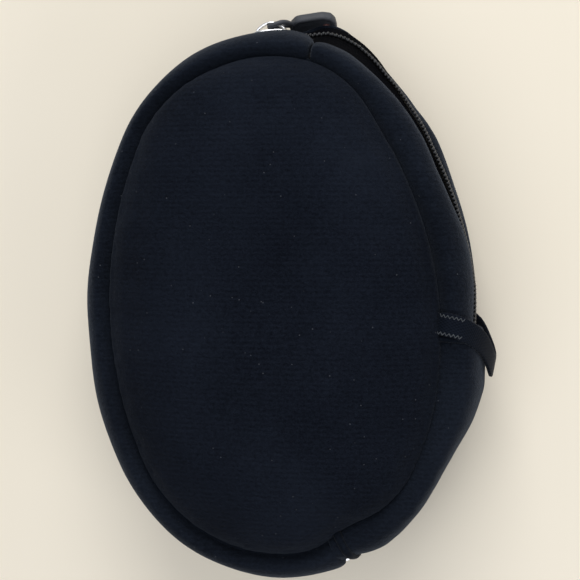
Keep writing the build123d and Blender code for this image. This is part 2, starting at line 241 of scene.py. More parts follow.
def tube(points, radius, sides, squash=1.0, up=(0, 0, 1)):
    """Points and faces of a round rod along a path in millimetres, stretched along up by squash."""
    path = np.asarray(points, float)
    tangents = np.gradient(path, axis=0)
    tangents /= np.linalg.norm(tangents, axis=1)[:, None]
    side = np.cross(tangents, np.asarray(up, float))
    side /= np.maximum(np.linalg.norm(side, axis=1), 1e-9)[:, None]
    over = np.cross(side, tangents)
    turns = np.linspace(0, 2 * np.pi, sides, endpoint=False)
    radii = np.broadcast_to(np.asarray(radius, float), (len(path),))
    cosines, sines = np.cos(turns)[None, :, None], np.sin(turns)[None, :, None]
    ring = side[:, None] * cosines + over[:, None] * sines * squash
    verts = (path[:, None] + ring * radii[:, None, None]).reshape(-1, 3)
    return verts, capped_faces(len(path), sides)


def rounded_path(points, rounds):
    """Corner cutting: a smooth open path from a few points."""
    path = np.asarray(points, float)
    for _ in range(rounds):
        low, high = path[:-1], path[1:]
        cut = np.empty((2 * len(low), 3))
        cut[0::2], cut[1::2] = low * 0.75 + high * 0.25, low * 0.25 + high * 0.75
        path = np.vstack([path[:1], cut, path[-1:]])
    return path


def capsule(start, end, radius):
    """Points and faces of a short rod with rounded ends."""
    start, end = np.asarray(start, float), np.asarray(end, float)
    along = (end - start) / np.linalg.norm(end - start)
    up = np.array([0, 0, 1.0]) if abs(along[2]) < 0.8 else np.array([1.0, 0, 0])
    path = [start + along * radius * out for out in (-0.9, -0.5, 0)]
    path += [end + along * radius * out for out in (0, 0.5, 0.9)]
    return tube(path, np.array([0.35, 0.86, 1, 1, 0.86, 0.35]) * radius, 6, up=up)


def join_parts(name, parts):
    """One object from several (points, faces)."""
    verts, faces, offset = [], [], 0
    for part_verts, part_faces in parts:
        verts.append(np.asarray(part_verts, float))
        faces.extend(tuple(i + offset for i in f) for f in part_faces)
        offset += len(part_verts)
    return face_outward(make_object(name, np.concatenate(verts), faces))


def subdivide(made):
    """Rounds the mesh with one level of subdivision."""
    modifier = made.modifiers.new("Subdivision", "SUBSURF")
    modifier.levels = modifier.render_levels = 1
    return made


def thicken(made, thickness):
    """Gives an open surface its thickness, on its inner side."""
    modifier = made.modifiers.new("Thickness", "SOLIDIFY")
    modifier.thickness, modifier.offset = thickness * MM, -1
    return made


def bevel(made, width, segments, angle=35):
    """Rounds the edges that are sharper than that angle."""
    modifier = made.modifiers.new("Bevel", "BEVEL")
    modifier.width = width * MM
    modifier.segments = segments
    modifier.limit_method = "ANGLE"
    modifier.angle_limit = math.radians(angle)
    modifier.harden_normals = False
    return made


# ---------------------------------------------------------------- materials
class Nodes:
    """Short calls for building one material's node tree."""

    def __init__(self, name):
        self.material = bpy.data.materials.new(name)
        self.material.use_nodes = True
        self.tree = self.material.node_tree
        self.shader = self.tree.nodes["Principled BSDF"]

    def add(self, kind, **values):
        node = self.tree.nodes.new(kind)
        for key, value in values.items():
            if key in node.inputs:
                node.inputs[key].default_value = value
            else:
                setattr(node, key, value)
        return node

    def link(self, out, into):
        self.tree.links.new(out, into)

    def position(self):
        return self.add("ShaderNodeTexCoord").outputs["Object"]

    def scaled(self, vector, scale):
        node = self.add("ShaderNodeVectorMath", operation="MULTIPLY")
        self.link(vector, node.inputs[0])
        node.inputs[1].default_value = scale
        return node.outputs[0]

    def noise(self, vector, scale, detail=3.0, roughness=0.55):
        node = self.add("ShaderNodeTexNoise", Scale=scale, Detail=detail, Roughness=roughness)
        self.link(vector, node.inputs["Vector"])
        return node.outputs["Fac"]

    def math(self, operation, *values):
        node = self.add("ShaderNodeMath", operation=operation)
        for socket, value in zip(node.inputs, values):
            if isinstance(value, (int, float)):
                socket.default_value = value
            else:
                self.link(value, socket)
        return node.outputs[0]

    def weighted(self, *terms):
        """The sum of several values, each times its weight."""
        total = self.math("MULTIPLY", *terms[0])
        for value, weight in terms[1:]:
            total = self.math("ADD", total, self.math("MULTIPLY", value, weight))
        return total

    def ramp(self, factor, stops):
        node = self.add("ShaderNodeValToRGB")
        ramp = node.color_ramp
        while len(ramp.elements) < len(stops):
            ramp.elements.new(0.5)
        for element, (place, colour) in zip(ramp.elements, stops):
            element.position = place
            element.color = (*colour, 1)
        self.link(factor, node.inputs[0])
        return node.outputs[0]

    def mix(self, factor, base, colour):
        """The base, mixed by factor with a plain colour."""
        node = self.add("ShaderNodeMix", data_type="RGBA")
        self.link(factor, node.inputs[0])
        self.link(base, node.inputs[6])
        node.inputs[7].default_value = (*colour, 1)
        return node.outputs[2]

    def bump(self, height, strength, distance, normal=None):
        node = self.add("ShaderNodeBump", Strength=strength, Distance=distance)
        self.link(height, node.inputs["Height"])
        if normal is not None:
            self.link(normal, node.inputs["Normal"])
        return node.outputs[0]

    def finish(self, **values):
        """Sets the shader's plain values, named with _ for a space, and gives the material."""
        for key, value in values.items():
            self.shader.inputs[key.replace("_", " ")].default_value = value
        return self.material


RIB_PITCH = 0.0017  # of the knit, in metres


def knit_material(name, dark, light, sheen, lint=1.0):
    """Fine brushed knit over foam: faint cross ribs, a soft nap, and a few specks of lint."""
    n = Nodes(name)
    place = n.position()
    warp = n.noise(n.scaled(place, (18, 18, 18)), 3.0, 2.0)
    bands = n.add("ShaderNodeTexWave", wave_type="BANDS", bands_direction="Y", wave_profile="SIN")
    bands.inputs["Scale"].default_value = 0.314 / RIB_PITCH  # its bands are 0.314 / Scale apart
    bands.inputs["Distortion"].default_value = 1.4
    bands.inputs["Detail"].default_value = 2.0
    bands.inputs["Detail Scale"].default_value = 2.2
    n.link(place, bands.inputs["Vector"])
    grain = n.noise(place, 1700.0, 3.0, 0.7)
    nap = n.noise(n.scaled(place, (1, 1.5, 1)), 760.0, 3.0, 0.65)
    cloud = n.noise(place, 26.0, 3.0, 0.5)
    patches = n.noise(place, 11.0, 2.0, 0.5)
    ribbing = bands.outputs["Fac"]
    tone = n.weighted((ribbing, 0.06), (nap, 0.50), (cloud, 0.40), (patches, 0.24), (grain, 0.46))
    base = n.ramp(tone, [(0.66, dark), (1.0, light)])
    specks = n.add("ShaderNodeTexVoronoi", feature="F1", Scale=300.0)
    specks.inputs["Randomness"].default_value = 1.0
    n.link(place, specks.inputs["Vector"])
    chosen = n.add("ShaderNodeSeparateColor")
    n.link(specks.outputs["Color"], chosen.inputs[0])
    near = n.math("LESS_THAN", specks.outputs["Distance"], 0.066)
    few = n.math("GREATER_THAN", chosen.outputs[0], 0.35)
    speck = n.math("MULTIPLY", n.math("MULTIPLY", near, few), 0.20 * lint)
    n.link(n.mix(speck, base, (0.16, 0.17, 0.19)), n.shader.inputs["Base Color"])
    n.link(n.ramp(cloud, [(0.3, (0.93,) * 3), (0.8, (0.83,) * 3)]), n.shader.inputs["Roughness"])
    fine = n.bump(n.math("ADD", grain, n.math("MULTIPLY", nap, 1.4)), 0.7, 0.0003)
    ribs = n.bump(ribbing, 0.22, 0.00010, fine)
    n.link(n.bump(warp, 0.28, 0.0016, ribs), n.shader.inputs["Normal"])
    tint = (0.62, 0.72, 0.90, 1)
    return n.finish(Specular_IOR_Level=0.05, Sheen_Weight=sheen, Sheen_Roughness=0.42, Sheen_Tint=tint)


def woven_material(name, dark, light, pitch, across, sheen):
    """Woven tape or webbing: a small grid of threads, taken from the piece's UV, metres along and across."""
    n = Nodes(name)
    uv = n.add("ShaderNodeUVMap").outputs[0]
    parts = n.add("ShaderNodeSeparateXYZ")
    n.link(uv, parts.inputs[0])
    along = n.math("SINE", n.math("MULTIPLY", parts.outputs[0], 2 * math.pi / pitch))
    cross = n.math("SINE", n.math("MULTIPLY", parts.outputs[1], 2 * math.pi / across))
    weave = n.math("ADD", n.math("MULTIPLY", n.math("MULTIPLY", along, cross), 0.5), 0.5)
    place = n.position()
    nap = n.noise(place, 900.0, 3.0, 0.6)
    cloud = n.noise(place, 60.0, 2.0)
    tone = n.weighted((weave, 0.45), (nap, 0.35), (cloud, 0.35))
    n.link(n.ramp(tone, [(0.3, dark), (0.95, light)]), n.shader.inputs["Base Color"])
    fine = n.bump(nap, 0.25, 0.0002)
    n.link(n.bump(weave, 0.55, 0.00022, fine), n.shader.inputs["Normal"])
    return n.finish(Roughness=0.7, Specular_IOR_Level=0.03, Sheen_Weight=sheen, Sheen_Roughness=0.4)


def cloth_material(name, dark, light, scale=1500.0, sheen=0.3):
    """Plain lining or binding cloth with a fine brushed surface."""
    n = Nodes(name)
    place = n.position()
    cells = n.add("ShaderNodeTexVoronoi", feature="F1", Scale=scale)
    n.link(place, cells.inputs["Vector"])
    nap = n.noise(place, 500.0, 3.0, 0.6)
    cloud = n.noise(place, 30.0, 3.0)
    tone = n.weighted((cells.outputs["Distance"], 0.4), (nap, 0.35), (cloud, 0.4))
    n.link(n.ramp(tone, [(0.3, dark), (0.9, light)]), n.shader.inputs["Base Color"])
    fine = n.bump(cells.outputs["Distance"], 0.4, 0.0002)
    n.link(n.bump(nap, 0.2, 0.0004, fine), n.shader.inputs["Normal"])
    return n.finish(Roughness=0.85, Specular_IOR_Level=0.04, Sheen_Weight=sheen, Sheen_Roughness=0.4)


def hard_material(name, dark, light, roughness, metallic=0.0, grain=700.0, depth=0.00008):
    """Moulded plastic, rubber or metal with fine grain and handling marks, between two roughnesses."""
    n = Nodes(name)
    place = n.position()
    fine = n.noise(place, grain, 4.0, 0.6)
    marks = n.noise(n.scaled(place, (1, 3, 1)), 120.0, 4.0, 0.7)
    n.link(n.ramp(marks, [(0.3, dark), (0.75, light)]), n.shader.inputs["Base Color"])
    smooth, rough = ((value,) * 3 for value in roughness)
    n.link(n.ramp(marks, [(0.25, smooth), (0.8, rough)]), n.shader.inputs["Roughness"])
    n.link(n.bump(fine, 0.3, depth), n.shader.inputs["Normal"])
    return n.finish(Metallic=metallic)


PANEL_KNIT = knit_material("panel_knit", (0.0018, 0.0027, 0.0054), (0.0064, 0.0090, 0.0157), 0.038)
WALL_KNIT = knit_material("wall_knit", (0.0024, 0.0035, 0.0063), (0.0076, 0.0106, 0.0175), 0.11, lint=1.3)
LINING = cloth_material("lining_cloth", (0.008, 0.008, 0.009), (0.028, 0.028, 0.031))
BINDING = cloth_material("binding_tape", (0.0018, 0.0027, 0.0050), (0.0056, 0.0082, 0.0140), 1100.0, 0.06)
# The zip tape's colour is partly its own near-black and partly painted shade: it is made much darker than the
# cloth to stand for the shade in the recess behind the walls' lips.
ZIP_TAPE_DARK_AND_SHADED = woven_material("zip_tape", (0.0006, 0.0007, 0.0013), (0.0022, 0.0025, 0.0040), 0.0007, 0.0005, 0.0)
WEBBING = woven_material("webbing", (0.0018, 0.0028, 0.0054), (0.0058, 0.0086, 0.0150), 0.0016, 0.0010, 0.06)
THREAD = cloth_material("thread", (0.022, 0.026, 0.031), (0.085, 0.093, 0.105), 3000.0, 0.15)
DARK_THREAD = cloth_material("dark_thread", (0.006, 0.007, 0.009), (0.024, 0.027, 0.032), 3000.0, 0.1)
COIL = hard_material("zip_coil", (0.009, 0.010, 0.013), (0.028, 0.031, 0.037), (0.48, 0.62))
CHROME = hard_material("chrome", (0.70, 0.71, 0.74), (0.86, 0.87, 0.90), (0.10, 0.22), 1.0, 500.0, 0.00003)
RUBBER = hard_material("pull_rubber", (0.024, 0.027, 0.035), (0.046, 0.051, 0.063), (0.55, 0.72), 0.0, 1500.0)
BADGE = hard_material("pull_badge", (0.060, 0.022, 0.020), (0.110, 0.036, 0.032), (0.45, 0.55))


def paint(made, material):
    """Gives a piece that one material."""
    made.data.materials.clear()
    made.data.materials.append(material)
    return made


def finish_piece(made, material, body, stands_for=()):
    """Gives a piece its material, slot and body, and hides the CAD nodes it stands for."""
    paint(made, material)
    if body:
        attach(made, body)
    if stands_for:
        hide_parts(*stands_for)


# ---------------------------------------------------------------- domed panels
EDGE_RHO = -20.4
CROWN_RHO = -45.0
CROWN_RADIUS = 70.0
EDGE_RADIUS = 10.0
SEAM_DEPTH = 1.6  # how much lower a panel's edge is drawn at its seam
ROLLED_UNDER = 0.45  # how far the edge turns past upright at its seam, in radians
BOARD_DEPTH = 4.75  # from a panel's face down to its lining
BAND_DEPTH = 2.6  # how much further the face slopes down beside the lower left seam
CROWN_SLOPE = math.atan2(EDGE_RHO - CROWN_RHO, math.sqrt(CROWN_RADIUS**2 - (EDGE_RHO - CROWN_RHO) ** 2))
EDGE_CENTRE_RHO = EDGE_RHO - EDGE_RADIUS * math.sin(CROWN_SLOPE)
EDGE_CENTRE_DZ = PARTING - CROWN_RADIUS + (CROWN_RADIUS - EDGE_RADIUS) * math.cos(CROWN_SLOPE)


def seam_shift(angle):
    """How much further out a panel's seam lies than on the plain oval: less at two places, more at two."""
    turned = near_x(angle)
    shift = 4.2 - 6.5 * bump(turned, 31, 28) - 3.4 * bump(turned, -57, 13)
    return shift + 1.3 * bump(turned, -19, 12) + 1.5 * bump(turned, 143, 26)


def dome_height(rho, under):
    """Height over the zip's plane of a panel's face, under millimetres below its surface."""
    if rho < CROWN_RHO:
        return PARTING - under
    if rho > EDGE_RHO:
        return EDGE_CENTRE_DZ + math.sqrt(max((EDGE_RADIUS - under) ** 2 - (rho - EDGE_CENTRE_RHO) ** 2, 0))
    return PARTING - CROWN_RADIUS + math.sqrt((CROWN_RADIUS - under) ** 2 - (rho - CROWN_RHO) ** 2)


def panel_grid(under, columns, edge_rows, dome_rows, crown_rows):
    """Points of a panel's surface as rows from its seam to its middle, and the angle of each column."""
    angles, _ = stations(0, 360, 1.0)
    angles = np.interp(np.linspace(0, len(angles) - 1, columns + 1), np.arange(len(angles)), angles)[:-1]
    turn = np.linspace(-ROLLED_UNDER, math.pi / 2 - CROWN_SLOPE, edge_rows, endpoint=False)
    edge_rho = EDGE_CENTRE_RHO + (EDGE_RADIUS - under) * np.cos(turn)
    dome_rho = np.linspace(EDGE_RHO, CROWN_RHO, dome_rows)
    low_band = BAND_DEPTH * bump(angles % 360, 245, 50)
    seam_rho = EDGE_CENTRE_RHO + EDGE_RADIUS
    rows = []
    for rho in [*edge_rho, *dome_rho]:
        x, y = oval(angles, rho + seam_shift(angles) * bump(rho, seam_rho, 9.0))
        sunk = SEAM_DEPTH * bump(rho, seam_rho, 3.4) + low_band * bump(rho, seam_rho, 8.5)
        rows.append(np.column_stack([x, y, dome_height(rho, under) - sunk]))
    for row, angle in zip(rows, turn[turn < 0]):  # rolled under, into the seam
        row[:, 2] = EDGE_CENTRE_DZ - SEAM_DEPTH - low_band + (EDGE_RADIUS - under) * math.sin(angle)
    inner = rows[-1]
    for share in np.linspace(1, 0.12, crown_rows)[1:]:
        x, y = inner[:, 0] * share, inner[:, 1] * share
        rows.append(np.column_stack([x, y, inner[:, 2]]))
    return np.array(rows), angles


def swell(made, held_below, pressure, slack, cap, frames=20):
    """Puffs a sewn panel as cloth.

    A closed and remeshed copy is run as pressured cloth with its seam held,
    and the panel follows it by at most cap millimetres.
    """
    scene = bpy.context.scene
    scale = 10.0  # the solver is happier with a piece about a metre long
    pad = bpy.data.objects.new("pad", made.data.copy())
    scene.collection.objects.link(pad)
    thicken(pad, 7)
    voxels = pad.modifiers.new("Voxels", "REMESH")
    voxels.mode, voxels.voxel_size = "VOXEL", 4.5 * MM
    bpy.context.view_layer.update()
    closed = bpy.data.meshes.new_from_object(pad.evaluated_get(bpy.context.evaluated_depsgraph_get()))
    pad.modifiers.clear()
    pad.data = closed
    rest = np.array([v.co for v in closed.vertices])
    dz = np.abs(rest[:, 2] / MM - PARTING)
    group = pad.vertex_groups.new(name="held")
    group.add([int(i) for i in np.flatnonzero(dz < held_below)], 1.0, "REPLACE")
    closed.vertices.foreach_set("co", (rest * scale).ravel())
    closed.update()
    cloth = pad.modifiers.new("Cloth", "CLOTH")
    cloth.settings.quality = 6
    cloth.settings.mass = 0.4
    cloth.settings.tension_stiffness = cloth.settings.compression_stiffness = 20
    cloth.settings.shear_stiffness = 8
    cloth.settings.bending_stiffness = 0.6
    cloth.settings.tension_damping = cloth.settings.compression_damping = 10
    cloth.settings.vertex_group_mass = "held"
    cloth.settings.use_pressure = True
    cloth.settings.uniform_pressure_force = pressure
    cloth.settings.shrink_min = -slack
    cloth.settings.effector_weights.gravity = 0
    cloth.point_cache.frame_start, cloth.point_cache.frame_end = 1, frames
    for number in range(1, frames + 1):
        scene.frame_set(number)
    evaluated = pad.evaluated_get(bpy.context.evaluated_depsgraph_get())
    step = np.array([v.co for v in evaluated.data.vertices]) / scale - rest
    scene.frame_set(1)
    size = np.linalg.norm(step, axis=1)
    limit = cap * MM
    step *= (limit * np.tanh(size / limit) / np.maximum(size, 1e-12))[:, None]
    tree = KDTree(len(rest))
    for i, point in enumerate(rest):
        tree.insert(point, i)
    tree.balance()
    for v in made.data.vertices:
        near = tree.find_n(v.co, 8)
        weights = np.array([1 / (d + 1 * MM) ** 2 for _, _, d in near])
        follow = np.clip((abs(v.co.z / MM - PARTING) - held_below + 1) / 3, 0, 1)
        v.co += Vector((step[[i for _, i, _ in near]] * weights[:, None]).sum(0) / weights.sum() * follow)
    bpy.data.objects.remove(pad)


def dome_object(name, rows, flip):
    """A panel surface from its rows, closed by a fan at its middle and turned to face away from the zip."""
    count, columns = rows.shape[:2]
    verts = np.vstack([rows.reshape(-1, 3), [0, 0, rows[-1, :, 2].mean()]])
    verts[:, 2] = PARTING + flip * verts[:, 2]
    hub, last = len(verts) - 1, (count - 1) * columns
    faces = grid_faces(count, columns) + [(last + j, last + (j + 1) % columns, hub) for j in range(columns)]
    made = make_object(name, verts, faces)
    if flip < 0:
        made.data.flip_normals()
    return made


def panel_face(name, flip, seed):
    """A panel's cover: the domed, padded face with small puckers along its seam."""
    edge_rows = 26
    rows, angles = panel_grid(0.0, columns=480, edge_rows=edge_rows, dome_rows=16, crown_rows=14)
    s = arc_length(angles)
    fine, broad = waves(seed, 9, 5.0, 13.0), waves(seed + 1, 5, 22.0, 60.0)
    pleats = waves(seed + 2, 5, 2.7, 3.8)
    right_side = bump(near_x(angles), -14, 30)
    puckers = (0.20 + 0.12 * right_side) * fine(s) + 0.25 * broad(s) + 0.42 * right_side * pleats(s)
    for i, row in enumerate(rows[: edge_rows + 8]):
        row[:, 2] += bump(i, 11.0, 8.0) * min(1.0, i / 6) * puckers
    for depth, x, y, width in ((0.55, -4, 26, 30), (0.35, 8, -30, 26)):  # two shallow hollows
        rows[..., 2] -= depth * bump(np.hypot(rows[..., 0] - x, rows[..., 1] - y), 0, width)
    made = dome_object(name, rows, flip)
    swell(made, held_below=20.0, pressure=2.5, slack=0.02, cap=1.2)
    if flip < 0:  # the face that the case rests on stays flat on the table
        for v in made.data.vertices:
            v.co.z = max(v.co.z, 0.0)
    return thicken(made, 1.9)


def panel_inside(name, flip):
    """The lining over a panel's board."""
    rows, _ = panel_grid(BOARD_DEPTH, columns=240, edge_rows=14, dome_rows=12, crown_rows=10)
    return thicken(dome_object(name, rows, flip), 0.75)


for side, flip, seed in (("front", 1, 11), ("back", -1, 23)):
    body = f"{side}_half"
    cover = panel_face(f"{side}_cover_pad", flip, seed)
    finish_piece(cover, PANEL_KNIT, body, [f"{side}_panel_cover"])
    inside = panel_inside(f"{side}_lining_cloth", flip)
    finish_piece(inside, LINING, body, [f"{side}_panel_lining", f"{side}_panel_board"])

# ---------------------------------------------------------------- side walls
WALL_CENTRE = (-11.2, 9.37)  # rho and dz of the middle of the wall's round section
WALL_REACH = 11.28
WALL_THICKNESS = 2.9
JOINT_GAP = 0.12  # degrees between the front wall's ends and the top joint


def lip_height(angle):
    """Height of the wall's lip over the zip's plane: it is pulled back most right of the top joint."""
    return LIP_HEIGHT + 2.6 * bump(near_x(angle), 68, 10) + 1.8 * bump(near_x(angle), 42, 24)


def section_shift(angle, rho, dz, slump):
    """How far a point of the wall's section moves outward, with its seam and with its lip."""
    return seam_shift(angle) * seam_follow(rho, dz) + slump * slump_share(dz)


def wall_section(seed, flip, ends):
    """The padded wall strip's section, with puckers towards its seam and its ends drawn in at the joints."""
    ripple, swing = waves(seed, 9, 6.0, 16.0), waves(seed + 1, 5, 30.0, 80.0)
    rise = waves(seed + 2, 8, 9.0, 24.0)
    outer_turns, inner_turns = np.linspace(103, -4, 18), np.linspace(2, 92, 7)
    seam_turn = 77  # past this direction the outer face dips into its seam

    def section(angle):
        s = float(arc_length(angle))
        lip = lip_height(angle) if flip > 0 else LIP_HEIGHT + 0.35 * float(swing(s))
        to_end = min(abs(s - float(arc_length(e))) for e in ends)
        drawn = 0.9 * bump(to_end, 0, 1.6)
        slump = lip_shift(angle, flip)
        points = []
        for turn in outer_turns:
            near_seam = bump(turn, 78, 26)
            reach = WALL_REACH - 0.1 + 0.20 * float(ripple(s)) * near_seam + 0.28 * float(swing(s)) - drawn
            past = max(0.0, turn - seam_turn)
            rho = WALL_CENTRE[0] + reach * math.cos(math.radians(turn)) - 0.070 * past
            dz = WALL_CENTRE[1] + reach * math.sin(math.radians(turn))
            points.append((min(rho, 0.25) + section_shift(angle, rho, dz, slump), dz - 0.0085 * past**2))
        above_lip = [p for p in points if p[1] > lip + 1.2]
        points = above_lip + above_lip[-1:] * (len(points) - len(above_lip))  # always the same number
        fold = lip + 0.25 * float(rise(s))
        edge = slump - drawn
        points += [(edge - 0.75, fold + 0.55), (edge - 1.35, fold + 0.05), (edge - 2.3, fold)]
        points += [(edge - 3.2, fold + 0.25), (edge - 3.6, fold + 1.2)]
        for turn in inner_turns:
            rho = WALL_CENTRE[0] + (WALL_REACH - WALL_THICKNESS) * math.cos(math.radians(turn))
            dz = WALL_CENTRE[1] + (WALL_REACH - WALL_THICKNESS) * math.sin(math.radians(turn))
            dz = max(dz, fold + 1.4)
            points.append((rho + section_shift(angle, rho, dz, slump), dz))
        return np.array(points) * (1, flip)

    return section


def wall(name, first, last, flip, seed):
    """One length of the padded wall."""
    angles, _ = stations(first, last, 1.7)
    return subdivide(loft(name, angles, wall_section(seed, flip, (first, last))))


for name, first, last, side, flip, seed, node in (
    ("front_wall_pad_right", ZIP_START, TOP_JOINT - JOINT_GAP, "front", 1, 31, "front_wall_right"),
    ("front_wall_pad_left", TOP_JOINT + JOINT_GAP, ZIP_END, "front", 1, 41, "front_wall_left"),
    ("back_wall_pad", ZIP_START, ZIP_END, "back", -1, 51, "back_wall"),
):
    strip = wall(name, first, last, flip, seed)
    finish_piece(strip, WALL_KNIT, f"{side}_half", [node])


def wall_lining_section(flip):
    """The thin lining inside the wall, from its seam down to the zip tape."""
    turns = np.radians(np.linspace(84, 2, 9))
    arc = np.column_stack([np.cos(turns), np.sin(turns)])
    foot = [(-4.7, 7.0), (-4.8, 4.7), (-5.4, 4.6), (-5.6, 7.0)]
    plain = np.vstack([WALL_CENTRE + 6.6 * arc, foot, WALL_CENTRE + 5.6 * arc[::-1]]) - (0.35, 0)

    def section(angle):
        slump = lip_shift(angle, flip)
        if flip < 0:
            slump = min(0.0, slump)
        moved = section_shift(angle, plain[:, 0], plain[:, 1], slump)
        return np.column_stack([plain[:, 0] + moved, flip * plain[:, 1]])

    return section


def binding_section(flip, seed):
    """The tape sewn over the seam inside, a flat rounded section that sways a little."""
    ripple = waves(seed, 6, 6.0, 20.0)

    def section(angle):
        sway = 0.12 * float(ripple(arc_length(angle)))
        turns = np.linspace(0, 2 * np.pi, 12, endpoint=False)
        rho = -14.0 + 1.05 * np.sign(np.cos(turns)) * np.abs(np.cos(turns)) ** 0.6 + sway
        dz = 14.9 + 2.35 * np.sign(np.sin(turns)) * np.abs(np.sin(turns)) ** 0.6
        rho = rho + seam_shift(angle) * np.clip((dz - 6) / 5, 0, 1)
        return np.column_stack([rho, flip * dz])

    return section


ZIP_ANGLES, _ = stations(ZIP_START, ZIP_END, 2.0)
RING_ANGLES, _ = stations(0, 360, 2.0)
for side, flip in (("front", 1), ("back", -1)):
    body = f"{side}_half"
    lining = loft(f"{side}_wall_lining_cloth", ZIP_ANGLES, wall_lining_section(flip))
    finish_piece(subdivide(lining), LINING, body, [f"{side}_wall_lining"])
    binding = loft(f"{side}_seam_tape", RING_ANGLES[:-1], binding_section(flip, 60 + flip), wrap=True)
    finish_piece(subdivide(binding), BINDING, body, [f"{side}_seam_binding"])

# ---------------------------------------------------------------- zip
def with_uv(made, angles):
    """Writes a lofted strip's UV: metres along the oval and across the section."""
    layer = made.data.uv_layers.new(name="UVMap")
    s = arc_length(angles) * MM
    rows = len(angles)
    co = np.array([v.co for v in made.data.vertices]).reshape(rows, -1, 3)
    step = np.linalg.norm(np.diff(co[rows // 2], axis=0), axis=1)
    across = np.concatenate([[0], np.cumsum(step)])
    for loop in made.data.loops:
        i, j = divmod(loop.vertex_index, len(across))
        layer.data[loop.index].uv = (s[i], across[j])


def tape_profile(flip):
    """The visible strip beside the teeth, then back behind the wall's lip."""
    plain = [(-1.55, 0.85), (-1.5, 2.4), (-1.5, 4.2), (-2.4, 5.2), (-4.55, 6.2), (-4.6, 10.0), (-4.6, 13.8)]
    plain += [(-5.05, 13.8), (-5.05, 10.0), (-5.0, 5.9), (-2.6, 4.7)]
    plain += [(-2.05, 3.9), (-2.05, 2.4), (-2.0, 0.85)]
    rho, dz = np.array(plain).T
    wall_share = np.clip((dz - 2.4) / 3.2, 0, 1)
    lift_share = np.clip((dz - 2.4) / 3, 0, 1) * np.clip((12 - dz) / 5, 0, 1)

    def section(angle):
        moved = rho + wall_share * lip_shift(angle, flip) + (1 - wall_share) * float(zip_shift(angle))
        lifted = dz
        if flip < 0:  # bared right of the top joint, where the lip stands out from it
            moved = moved + 2.3 * bump(near_x(angle), 62, 17) * bump(dz, 4.6, 1.9)
        else:  # the tape follows the lip where that is pulled back
            lifted = dz + (lip_height(angle) - LIP_HEIGHT) * lift_share
        return np.column_stack([moved, flip * lifted])

    return section


ZIP_FINE = np.linspace(ZIP_START - 1, ZIP_END + 1, 6000)
ZIP_FINE_PLACES = arc_length(ZIP_FINE)


def zip_angle(s):
    """The normal direction at that distance along the zip's oval."""
    return np.interp(s, ZIP_FINE_PLACES, ZIP_FINE)


COIL_PITCH = 1.45
TOOTH_LEAN = 0.28
TOOTH_RADIUS = 0.46
TOOTH_RADII = np.array([0.7, 0.95, 1.0, 1.0, 1.1, 0.8]) * TOOTH_RADIUS


def coil_row(name, flip, shift):
    """One row of coil teeth, each a rounded bar that leans a little and hooks past the zip's plane."""
    first = float(arc_length(ZIP_START)) + 3.2
    last = float(arc_length(ZIP_END)) - 4.5
    parts = []
    for s in np.arange(first + shift, last, COIL_PITCH):
        here, ahead = zip_angle([s, s + TOOTH_LEAN])
        path = []
        for angle, rho, dz in (
            (here, -1.05, 2.95), (here, -0.55, 2.9), (here, -0.42, 2.2), (ahead, -0.40, 0.9),
            (ahead, -0.45, -0.05), (ahead, -0.9, -0.22),
        ):
            x, y = oval(angle, rho + float(zip_shift(angle)))
            path.append((float(x), float(y), PARTING + flip * dz))
        normal = np.array([math.cos(math.radians(here)), math.sin(math.radians(here)), 0])
        parts.append(tube(path, TOOTH_RADII, 7, up=np.cross(normal, (0, 0, 1))))
    return join_parts(name, parts)


STITCH_LENGTH, STITCH_GAP, STITCH_RADIUS, STITCH_LEAN = 1.1, 0.55, 0.17, 0.16
STITCH_RHO, STITCH_DZ = -1.42, 3.75


def coil_stitches(name, flip):
    """The row of sewing stitches beside the teeth."""
    first, last = arc_length([ZIP_START + 1, ZIP_END - 1])
    parts = []
    for s in np.arange(first + 1.5, last - 1.5, STITCH_LENGTH + STITCH_GAP):
        ends = []
        for at, rise in ((s, -STITCH_LEAN), (s + STITCH_LENGTH, STITCH_LEAN)):
            angle = float(zip_angle(at))
            aside = 0.6 * float(zip_shift(angle)) + 0.4 * lip_shift(angle, flip)
            x, y = oval(angle, STITCH_RHO + aside)
            ends.append((float(x), float(y), PARTING + flip * (STITCH_DZ + rise)))
        parts.append(capsule(*ends, STITCH_RADIUS))
    return join_parts(name, parts)


for side, flip, shift in (("front", 1, 0.0), ("back", -1, COIL_PITCH / 2)):
    body = f"{side}_half"
    tape = loft(f"{side}_tape", ZIP_ANGLES, tape_profile(flip))
    with_uv(tape, ZIP_ANGLES)
    # the tape's material carries painted shade for the recess behind the lip
    finish_piece(tape, ZIP_TAPE_DARK_AND_SHADED, body, [f"{side}_zip_tape"])
    coil = coil_row(f"{side}_coil", flip, shift)
    finish_piece(coil, COIL, body, [f"{side}_zip_coil"])
    finish_piece(coil_stitches(f"{side}_coil_stitches", flip), DARK_THREAD, body)

# ---------------------------------------------------------------- spine and its bound ends
SPINE_PLACES = [294.0, 299.0, 303.0, 308.0, 315.0, 320.0, 331.0, 336.0, 340.5, 344.7, 349.5, 356.5]
SPINE_OUT = [-1.4, -1.2, 0.4, 1.5, 1.4, 1.0, 0.6, 1.0, 2.5, 4.4, 5.7, 3.2]
SPINE_SEAM = -13.2  # rho of the spine's front and back seams
SPINE_THICKNESS = 2.6
SPINE_PAD_START, SPINE_PAD_END = SPINE_START - 2.6, SPINE_END + 3.2  # the pad runs a little under both walls


def spine_out(angle):
    """How far the closed spine stands past the base oval: fullest next to the carry loop."""
    return np.interp(angle, SPINE_PLACES, SPINE_OUT)


